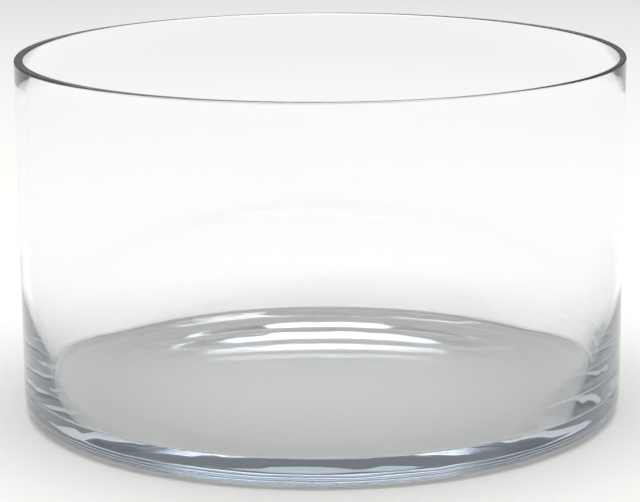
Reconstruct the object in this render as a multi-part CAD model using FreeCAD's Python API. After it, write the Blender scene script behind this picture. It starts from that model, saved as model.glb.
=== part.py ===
import FreeCAD, Part
import math
import os

# A low, straight-sided glass dish with a heavy bottom, made of two pieces of glass that are
# fused face to face: a drawn side wall and a pressed base.
# Millimetres, +Z up. The origin is the centre of the ring that the dish stands on.

# whole dish
outer_diameter = 250.0
dish_height = 147.5

# side wall
rim_wall = 3.2            # wall of the drawn tube, which the rim keeps
rim_land = 1.2            # flat left on top of the rim between its two fire-polished edges
swell_start = 55.0        # height where the wall begins to thicken towards the base
swell_radius = 225.0      # radius of that thickening, in section

# base
floor_thickness = 10.9    # from the bench to the inner floor
cove_radius = 1.2         # inner corner between the floor and the wall
heel_radius = 7.5         # outer corner at the bottom
foot_ring_width = 22.0    # flat ring that the dish stands on
push_up = 1.5             # rise of the domed underside above the bench, at its centre

outer_radius = outer_diameter / 2
bore_radius = outer_radius - rim_wall
rim_rounding = (rim_wall - rim_land) / 2
foot_outer_radius = outer_radius - heel_radius
foot_inner_radius = foot_outer_radius - foot_ring_width

full_turn = 360.0
axis_point = FreeCAD.Vector(0, 0, 0)
axis_direction = FreeCAD.Vector(0, 0, 1)


def in_section(radius, height):
    """Point of the half section, which lies in the XZ plane."""
    return FreeCAD.Vector(radius, 0, height)


def on_circle(centre, radius, degrees):
    """Point of the section on a circle, at an angle counted from straight outwards, up positive."""
    turn = math.radians(degrees)
    return in_section(centre.x + radius * math.cos(turn), centre.z + radius * math.sin(turn))


def arc(centre, radius, first_degrees, last_degrees):
    """Arc of the section about a centre, from one angle to another."""
    middle_degrees = (first_degrees + last_degrees) / 2
    return Part.Arc(
        on_circle(centre, radius, first_degrees),
        on_circle(centre, radius, middle_degrees),
        on_circle(centre, radius, last_degrees),
    ).toShape()


def straight(start, end):
    return Part.LineSegment(start, end).toShape()


def revolved(edges):
    """Solid of revolution of a closed half section."""
    section = Part.Face(Part.Wire(edges))
    return section.revolve(axis_point, axis_direction, full_turn)


# The inner corner, in section. The swell is tangent to the bore at swell_start. The cove is tangent
# to the floor and, from inside, to the swell. The two pieces of glass meet where cove and swell touch.
swell_centre = in_section(bore_radius - swell_radius, swell_start)
cove_centre_height = floor_thickness + cove_radius
cove_centre_drop = swell_start - cove_centre_height
centre_distance = swell_radius - cove_radius
cove_centre_across = math.sqrt(centre_distance ** 2 - cove_centre_drop ** 2)
cove_centre = in_section(swell_centre.x + cove_centre_across, cove_centre_height)
seam_degrees = -math.degrees(math.asin(cove_centre_drop / centre_distance))
seam_inner = on_circle(cove_centre, cove_radius, seam_degrees)
seam_outer = in_section(outer_radius, seam_inner.z)


def side_wall():
    """Tube from the fused seam to the rim: swelling foot, straight bore, fire-polished rim."""
    rounding_height = dish_height - rim_rounding
    outer_edge = in_section(outer_radius - rim_rounding, rounding_height)
    inner_edge = in_section(bore_radius + rim_rounding, rounding_height)
    edges = [
        straight(seam_inner, seam_outer),
        straight(seam_outer, in_section(outer_radius, rounding_height)),
        arc(outer_edge, rim_rounding, 0, 90),
        straight(
            in_section(outer_edge.x, dish_height),
            in_section(inner_edge.x, dish_height),
        ),
        arc(inner_edge, rim_rounding, 90, 180),
        straight(
            in_section(bore_radius, rounding_height),
            in_section(bore_radius, swell_start),
        ),
        arc(swell_centre, swell_radius, 0, seam_degrees),
    ]
    return revolved(edges)


def heavy_base():
    """Thick bottom with an upstand: foot ring, rounded heel, cove, domed underside."""
    heel_centre = in_section(foot_outer_radius, heel_radius)
    foot_inner = in_section(foot_inner_radius, 0)
    dome_top = in_section(0, push_up)
    dome_radius = (foot_inner_radius ** 2 + push_up ** 2) / (2 * push_up)
    dome_centre = in_section(0, push_up - dome_radius)
    dome_edge_degrees = math.degrees(math.acos(foot_inner_radius / dome_radius))
    floor_centre = in_section(0, floor_thickness)
    edges = [
        arc(dome_centre, dome_radius, 90, dome_edge_degrees),
        straight(foot_inner, in_section(foot_outer_radius, 0)),
        arc(heel_centre, heel_radius, -90, 0),
        straight(in_section(outer_radius, heel_radius), seam_outer),
        straight(seam_outer, seam_inner),
        arc(cove_centre, cove_radius, seam_degrees, -90),
        straight(in_section(cove_centre.x, floor_thickness), floor_centre),
        straight(floor_centre, dome_top),
    ]
    return revolved(edges)


os.makedirs("parts", exist_ok=True)
side_wall().exportStep("parts/side_wall.step")
heavy_base().exportStep("parts/heavy_base.step")
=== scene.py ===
import math

import bpy
import numpy as np
from mathutils import Matrix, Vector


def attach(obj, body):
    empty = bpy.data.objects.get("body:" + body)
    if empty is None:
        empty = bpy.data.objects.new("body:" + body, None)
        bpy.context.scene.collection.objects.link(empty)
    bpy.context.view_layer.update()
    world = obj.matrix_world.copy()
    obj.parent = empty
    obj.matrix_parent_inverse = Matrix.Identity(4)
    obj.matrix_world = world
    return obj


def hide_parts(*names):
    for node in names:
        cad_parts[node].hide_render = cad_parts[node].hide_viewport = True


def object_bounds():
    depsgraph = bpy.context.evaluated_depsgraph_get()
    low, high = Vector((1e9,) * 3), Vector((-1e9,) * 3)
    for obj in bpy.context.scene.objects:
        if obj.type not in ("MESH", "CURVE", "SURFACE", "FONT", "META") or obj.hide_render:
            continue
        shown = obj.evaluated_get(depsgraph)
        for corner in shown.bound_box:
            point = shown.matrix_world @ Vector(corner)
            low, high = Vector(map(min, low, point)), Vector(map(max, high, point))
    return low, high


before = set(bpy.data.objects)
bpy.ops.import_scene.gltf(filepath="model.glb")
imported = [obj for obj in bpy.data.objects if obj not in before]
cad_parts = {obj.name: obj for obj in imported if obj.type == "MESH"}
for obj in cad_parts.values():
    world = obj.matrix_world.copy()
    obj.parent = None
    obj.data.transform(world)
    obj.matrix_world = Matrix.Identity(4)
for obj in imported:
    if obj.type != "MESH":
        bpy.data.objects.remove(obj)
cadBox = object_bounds()
print("frame loaded:", ", ".join(sorted(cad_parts)))

outerRadius = (cadBox[1].x - cadBox[0].x) / 2
dishHeight = cadBox[1].z


def linearColour(sRGB):
    # each channel c of the hex value: ((c + 0.055) / 1.055) ^ 2.4, or c / 12.92 near black
    channels = [int(sRGB[i:i + 2], 16) / 255 for i in (0, 2, 4)]
    return [c / 12.92 if c < 0.04045 else ((c + 0.055) / 1.055) ** 2.4 for c in channels] + [1.0]


def addNode(tree, kind, sockets=None, **settings):
    # a node with its settings; a socket's value is a number, a colour or the output that feeds it
    node = tree.nodes.new(kind)
    for name, value in settings.items():
        setattr(node, name, value)
    for socket, value in (sockets or {}).items():
        if isinstance(value, bpy.types.NodeSocket):
            tree.links.new(value, node.inputs[socket])
        else:
            node.inputs[socket].default_value = value
    return node


def combined(tree, operation, *values):
    # the sum, product or largest of the values
    total = values[0]
    for value in values[1:]:
        total = addNode(tree, "ShaderNodeMath", {0: total, 1: value}, operation=operation).outputs[0]
    return total


def blended(tree, value, limits, low, high, **settings):
    # from low to high as the value goes from one limit to the other
    return addNode(tree, "ShaderNodeMapRange", {
        "Value": value, "From Min": limits[0], "From Max": limits[1], "To Min": low, "To Max": high,
    }, **settings).outputs["Result"]


def newMaterial(name):
    material = bpy.data.materials.new(name)
    material.use_nodes = True
    material.node_tree.nodes.clear()
    return material, material.node_tree


def newPiece(name, points, faces, material):
    mesh = bpy.data.meshes.new(name)
    mesh.from_pydata(points.tolist(), [], faces)
    mesh.shade_smooth()
    mesh.materials.append(material)
    piece = bpy.data.objects.new(name, mesh)
    bpy.context.scene.collection.objects.link(piece)
    return piece


dishShape = {
    "rimWall": 0.0032,         # wall at the rim
    "rimLand": 0.0012,         # flat between the two fire-polished edges of the rim
    "swellStart": 0.055,       # height where the wall begins to thicken towards the base
    "swellRadius": 0.225,      # radius of that thickening, in section
    "floorThickness": 0.0109,  # bench to inner floor
    "coveRadius": 0.0012,      # inner corner between floor and wall
    "heelRadius": 0.0075,      # outer corner at the bottom
    "footRingWidth": 0.022,    # flat ring that the dish stands on
    "pushUp": 0.0015,          # rise of the domed underside at its centre
    "columns": 420,            # grid columns around the dish, and rows along each run
    "rowsOf": {"underside": 34, "foot": 9, "heel": 36, "outside": 10, "rim": 9, "bore": 16,
               "swell": 42, "cove": 14, "floor": 38},
}

# how far the glass is from true, in metres: the hand-work that a turned solid lacks
handWork = {
    "boreDrift": 0.0005,       # the bore lies this far off the axis, so one side is thinner
    "boreFrom": (0.012, 0.035),  # heights between which that drift and the bore's waves set in
    "wallWave": 0.00002,       # slow waves of the bore, so many round it, leaning as they rise
    "waveOrders": (2, 12),
    "waveLean": 0.03,
    "waveEnd": (0.132, 0.144),   # heights between which they die out below the rim
    "floorWave": 0.000002,     # chill waves of the pressed floor and underside
    "waveFrom": 0.009,         # shortest and longest of those waves, crest to crest
    "waveTo": 0.034,
    "baseEnd": (0.012, 0.024),   # heights between which all marks of the pressed base die out
    "heelMark": 0.000015,      # short uneven marks along the heel and the edge of the underside
    "markOrders": (12, 48),
    "markLean": 0.001,
    "markDrift": 0.8,
    "markFrom": (0.100, 0.110),  # distances from the axis between which they set in
    "nickDepth": 0.00006,      # of the short nicks that the plunger left in the floor
    "nicks": [                 # x, y, length, half width, degrees from across
        (-0.0555, -0.0905, 0.0042, 0.0006, 118),
        (0.0490, -0.0920, 0.0050, 0.0007, 62),
        (0.0405, -0.0890, 0.0014, 0.0006, 20),
    ],
    "seed": 11,
}


def arcPoints(centre, radius, first, last, count):
    # centre + radius * (cos a, sin a), a running evenly from first to last, in degrees
    a = np.radians(np.linspace(first, last, count))
    return np.column_stack((centre[0] + radius * np.cos(a), centre[1] + radius * np.sin(a)))


def linePoints(start, end, count):
    # start + share * (end - start), share running evenly from 0 to 1
    share = np.linspace(0, 1, count)[:, None]
    return np.array(start) + share * (np.array(end) - np.array(start))


def dishSection(shape):
    # half section of the glass, from the middle of the underside, out, up, over the rim, down the
    # bore and in to the middle of the floor: straight runs and tangent arcs. Returns (radius,
    # height) of each row and the name of the run it is on.
    bore = outerRadius - shape["rimWall"]
    rounding = (shape["rimWall"] - shape["rimLand"]) / 2
    roundingHeight = dishHeight - rounding
    heel, floor, cove = shape["heelRadius"], shape["floorThickness"], shape["coveRadius"]
    footOuter = outerRadius - heel
    footInner = footOuter - shape["footRingWidth"]
    swellCentre = (bore - shape["swellRadius"], shape["swellStart"])
    coveDrop = shape["swellStart"] - floor - cove
    centreGap = shape["swellRadius"] - cove
    coveCentre = (swellCentre[0] + math.sqrt(centreGap ** 2 - coveDrop ** 2), floor + cove)
    seam = -math.degrees(math.asin(coveDrop / centreGap))
    count = shape["rowsOf"]
    out = linePoints((0, 0), (footInner, 0), count["underside"])
    out[:, 1] = shape["pushUp"] * (1 - (out[:, 0] / footInner) ** 2)
    runs = {
        "underside": out,
        "foot": linePoints((footInner, 0), (footOuter, 0), count["foot"]),
        "heel": arcPoints((footOuter, heel), heel, -90, 0, count["heel"]),
        "outside": linePoints((outerRadius, heel), (outerRadius, roundingHeight), count["outside"]),
        "rimOuter": arcPoints((outerRadius - rounding, roundingHeight), rounding, 0, 90, count["rim"]),
        "rimInner": arcPoints((bore + rounding, roundingHeight), rounding, 90, 180, count["rim"]),
        "bore": linePoints((bore, roundingHeight), (bore, shape["swellStart"]), count["bore"]),
        "swell": arcPoints(swellCentre, shape["swellRadius"], 0, seam, count["swell"]),
        "cove": arcPoints(coveCentre, cove, seam, -90, count["cove"]),
        "floor": linePoints((coveCentre[0], floor), (0, floor), count["floor"]),
    }
    names, rows = [], []
    for name, points in runs.items():
        kept = points if name in ("rimInner", "underside") else points[1:]
        rows.append(kept)
        names += [name] * len(kept)
    return np.vstack(rows), np.array(names)


def rowNormals(rows):
    # across the section: the tangent (dr, dz) from row to row, turned to (dz, -dr)
    tangent = np.gradient(rows, axis=0)
    normal = np.column_stack((tangent[:, 1], -tangent[:, 0]))
    return normal / np.linalg.norm(normal, axis=1)[:, None]


def wander(around, along, orders, seed, drift=1.0):
    # sum over the orders k of a_k * cos(k * around + phase_k + drift_k * along), scaled to an
    # rms of 1: an even, closed wave round the dish that leans as it goes along the section
    draw = np.random.default_rng(seed)
    total = np.zeros(np.broadcast(around, along).shape)
    for k in orders:
        strength, phase, lean = draw.uniform(0.5, 1), draw.uniform(0, 2 * np.pi), draw.normal(0, drift)
        total += strength * np.cos(k * around + phase + lean * along)
    return total / max(np.sqrt(np.mean(total ** 2)), 1e-9)


def crossing(x, y, shortest, longest, seed, count=26):
    # sum of plane waves cos(2 pi (x cos t + y sin t) / length + phase) that cross at every
    # angle t, each as high as it is long, scaled to an rms of 1
    draw = np.random.default_rng(seed)
    total = np.zeros(x.shape)
    for length in np.geomspace(shortest, longest, count):
        t, phase = draw.uniform(0, 2 * np.pi, 2)
        total += length * np.cos(2 * np.pi * (x * np.cos(t) + y * np.sin(t)) / length + phase)
    return total / np.sqrt(np.mean(total ** 2))


def smoothStep(value, low, high):
    # 0 below low, 1 above high, 3 t^2 - 2 t^3 between
    t = np.clip((value - low) / (high - low), 0, 1)
    return t * t * (3 - 2 * t)


def nicks(x, y, marks):
    # for each mark a bell exp(-(u / length)^4 - (v / width)^2), u along it and v across it
    total = np.zeros(x.shape)
    for atX, atY, length, width, degrees in marks:
        t = math.radians(degrees)
        u = (x - atX) * math.cos(t) + (y - atY) * math.sin(t)
        v = (y - atY) * math.cos(t) - (x - atX) * math.sin(t)
        total += np.exp(-(u / length) ** 4 - (v / width) ** 2)
    return total


def onRuns(names, *wanted):
    return np.isin(names, wanted)[:, None]


def handOffset(rows, names, around, work):
    # how far each grid point stands out along its row's normal: waves and marks, each times the
    # share of it that its run of the section has
    radius, height = rows[:, :1], rows[:, 1:]
    x, y = radius * np.cos(around), radius * np.sin(around)
    seed = work["seed"]
    inner = onRuns(names, "rimInner", "bore", "swell") * smoothStep(height, *work["boreFrom"])
    drift = -np.cos(around) * inner
    waves = wander(around, height / work["waveLean"], range(*work["waveOrders"]), seed)
    waves = waves * inner * (1 - smoothStep(height, *work["waveEnd"]))
    low = (1 - smoothStep(height, *work["baseEnd"])) * ~onRuns(names, "outside")
    under = onRuns(names, "underside", "foot", "heel")
    shortest, longest = work["waveFrom"], work["waveTo"]
    chill = np.where(under, crossing(x, y, shortest, longest, seed + 1),
                     crossing(x, y, shortest, longest, seed + 2))
    marks = wander(around, height / work["markLean"], range(*work["markOrders"]), seed + 3,
                   work["markDrift"])
    marks = marks * smoothStep(radius, *work["markFrom"]) * onRuns(names, "heel", "underside")
    cuts = nicks(x, y, work["nicks"]) * onRuns(names, "floor", "cove")
    return (work["boreDrift"] * drift + work["wallWave"] * waves + work["floorWave"] * chill * low
            + work["heelMark"] * marks * low - work["nickDepth"] * cuts)


def makeDish(shape, work, material):
    # point(row, column) = (radius * cos a, radius * sin a, height), the row first moved along its
    # normal by the hand-work; the two ends of the section close on points of the axis
    rows, names = dishSection(shape)
    count, columns = len(rows) - 2, shape["columns"]
    around = np.linspace(0, 2 * np.pi, columns, endpoint=False)[None, :]
    offset = handOffset(rows, names, around, work)
    normals = rowNormals(rows)
    radius = rows[:, :1] + normals[:, :1] * offset
    height = rows[:, 1:] + normals[:, 1:] * offset
    radius = np.minimum(radius, outerRadius)
    height = np.clip(height, 0, dishHeight)
    grid = np.stack((radius * np.cos(around), radius * np.sin(around), height + 0 * around), axis=2)[1:-1]
    poles = [[0, 0, rows[0, 1]], [0, 0, rows[-1, 1]]]
    points = np.vstack((grid.reshape(-1, 3), poles))
    i, j = np.meshgrid(np.arange(count - 1), np.arange(columns), indexing="ij")
    k = (j + 1) % columns
    here, there = i * columns + j, i * columns + k
    quads = np.stack((here, there, there + columns, here + columns), axis=2)
    ring = np.arange(columns)
    after = (ring + 1) % columns
    under, over = count * columns, count * columns + 1
    last = (count - 1) * columns
    fans = [np.column_stack((np.full(columns, under), after, ring)),
            np.column_stack((np.full(columns, over), last + ring, last + after))]
    faces = quads.reshape(-1, 4).tolist() + fans[0].tolist() + fans[1].tolist()
    return newPiece("glass_dish", points, faces, material)


glassSet = {
    "tint": "E1E8EF",          # each channel loses density * (1 - channel) per metre of glass
    "density": 9.0,
    "index": 1.52,             # soda-lime crown
    "chillSize": 0.0035,       # metres between the fine chill marks of the pressed base
    "chillHeight": 0.0000010,
    "chillDetail": 2.0,
    "chillGain": 0.45,
    "chillBetween": (0.030, 0.014),  # heights where the chill marks begin and where they are full
    "scuffGrain": 0.0007,      # metres between the scuffs of the foot ring
    "scuffDetail": 3.0,
    "scuffShare": (0.42, 0.62),
    "scuffRoughness": 0.05,
    "footBetween": (0.0004, 0.0001),
    "washSize": 1 / 22,        # metres between the washed-out patches inside
    "washDetail": 4.0,
    "washBend": 0.6,
    "washShare": (0.55, 0.75),
    "washRoughness": 0.012,    # at their worst
    "rimBetween": (0.0012, 0.0007),  # below the top: where the satin of the rim begins and is full
    "rimRoughness": 0.3,       # of the rim, cut and then only softened by the flame
}


def sodaLimeGlass(values):
    # soda-lime glass, wall drawn and fire-polished, base pressed: clear and sharp in the thin wall,
    # cool grey-blue where the eye looks along the thick base, faintly streaked by the chill of
    # the mould there, satin only on the cut rim and where the foot ring has rubbed on benches
    material, tree = newMaterial("soda-lime glass, fire-polished and pressed")
    where = addNode(tree, "ShaderNodeTexCoord").outputs["Object"]
    height = addNode(tree, "ShaderNodeSeparateXYZ", {"Vector": where}).outputs["Z"]
    base = blended(tree, height, values["chillBetween"], 0.0, 1.0, interpolation_type="SMOOTHSTEP")
    chill = addNode(tree, "ShaderNodeTexNoise", {
        "Vector": where, "Scale": 1 / values["chillSize"], "Detail": values["chillDetail"],
        "Roughness": values["chillGain"]})
    lift = combined(tree, "MULTIPLY", chill.outputs["Fac"], base)
    bump = addNode(tree, "ShaderNodeBump", {"Height": lift, "Distance": values["chillHeight"]})
    foot = blended(tree, height, values["footBetween"], 0.0, 1.0, interpolation_type="SMOOTHSTEP")
    grain = addNode(tree, "ShaderNodeTexNoise", {
        "Vector": where, "Scale": 1 / values["scuffGrain"], "Detail": values["scuffDetail"]})
    rubbed = blended(tree, grain.outputs["Fac"], values["scuffShare"], 0.0, values["scuffRoughness"])
    wash = addNode(tree, "ShaderNodeTexNoise", {
        "Vector": where, "Scale": 1 / values["washSize"], "Detail": values["washDetail"],
        "Distortion": values["washBend"]})
    haze = blended(tree, wash.outputs["Fac"], values["washShare"], 0.0, values["washRoughness"])
    rimBand = [dishHeight - depth for depth in values["rimBetween"]]
    rim = blended(tree, height, rimBand, 0.0, values["rimRoughness"])
    roughness = combined(tree, "MAXIMUM", combined(tree, "MULTIPLY", rubbed, foot), haze, rim)
    surface = addNode(tree, "ShaderNodeBsdfPrincipled", {
        "Base Color": linearColour("FFFFFF"),
        "Roughness": roughness,
        "IOR": values["index"],
        "Transmission Weight": 1.0,
        "Normal": bump.outputs["Normal"],
    })
    body = addNode(tree, "ShaderNodeVolumeAbsorption", {
        "Color": linearColour(values["tint"]),
        "Density": values["density"],
    })
    addNode(tree, "ShaderNodeOutputMaterial", {
        "Surface": surface.outputs["BSDF"],
        "Volume": body.outputs["Volume"],
    })
    return material


glass = sodaLimeGlass(glassSet)
dish = makeDish(dishShape, handWork, glass)
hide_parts("side_wall", "heavy_base")
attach(dish, "root")
print("dish made:", len(dish.data.polygons), "faces")


cameraSet = {
    "lens": 140.1,        # mm
    "sensor": 36,         # mm wide
    "away": 8.118,        # in front of the dish's axis, in outer radii
    "above": 2.377,       # above the bench, in outer radii
    "tilt": 12.95,        # degrees down
    "pan": 0.03,          # degrees to the left
    "roll": -0.36,        # degrees
}


def makeCamera(values):
    camera = bpy.data.objects.new("camera", bpy.data.cameras.new("camera"))
    bpy.context.scene.collection.objects.link(camera)
    camera.data.lens = values["lens"]
    camera.data.sensor_width = values["sensor"]
    turn = Matrix.Rotation(math.radians(values["pan"]), 4, "Z")
    turn @= Matrix.Rotation(math.radians(90 - values["tilt"]), 4, "X")
    turn @= Matrix.Rotation(math.radians(values["roll"]), 4, "Z")
    place = (0, -values["away"] * outerRadius, values["above"] * outerRadius)
    camera.matrix_world = Matrix.Translation(place) @ turn
    bpy.context.scene.camera = camera


makeCamera(cameraSet)


studioSet = {
    "floorColour": "F4F4F2",   # matt white laminate
    "floorHalf": 8.0,          # metres from its middle to an edge
    "floorDrop": 0.0001,       # below the foot ring, so that the two faces don't lie in one plane
    "boxHeight": 2.2,          # metres from the bench to the soft box overhead
    "boxSide": 2.4,
    "boxWatts": 60,
    "roomLight": 0.25,         # brightness of the plain room all round
    "bounces": 32,             # enough for the light that goes round inside the glass
}


def mattWhite(colour):
    # matt white laminate, without gloss
    material, tree = newMaterial("matt white laminate")
    surface = addNode(tree, "ShaderNodeBsdfDiffuse", {"Color": linearColour(colour)})
    addNode(tree, "ShaderNodeOutputMaterial", {"Surface": surface.outputs["BSDF"]})
    return material


def makeFloor(values):
    half, height = values["floorHalf"], -values["floorDrop"]
    corners = [(-half, -half), (half, -half), (half, half), (-half, half)]
    points = np.array([(x, y, height) for x, y in corners])
    newPiece("floor", points, [[0, 1, 2, 3]], mattWhite(values["floorColour"]))


def makeSoftBox(values):
    # a square soft box straight above the dish; a lamp shines down unless it is turned
    lamp = bpy.data.lights.new("softBox", "AREA")
    lamp.size = values["boxSide"]
    lamp.energy = values["boxWatts"]
    box = bpy.data.objects.new("softBox", lamp)
    box.location = (0, 0, values["boxHeight"])
    bpy.context.scene.collection.objects.link(box)


def makeRoom(values):
    # the same light from every side
    room = bpy.data.worlds.new("plain room")
    room.use_nodes = True
    background = room.node_tree.nodes["Background"]
    background.inputs["Color"].default_value = (1, 1, 1, 1)
    background.inputs["Strength"].default_value = values["roomLight"]
    bpy.context.scene.world = room


def makeStudio(values):
    makeFloor(values)
    makeSoftBox(values)
    makeRoom(values)
    scene = bpy.context.scene
    scene.view_settings.view_transform = "Standard"
    scene.cycles.max_bounces = values["bounces"]
    scene.cycles.transmission_bounces = values["bounces"]
    scene.cycles.glossy_bounces = values["bounces"]


makeStudio(studioSet)
print("studio made")
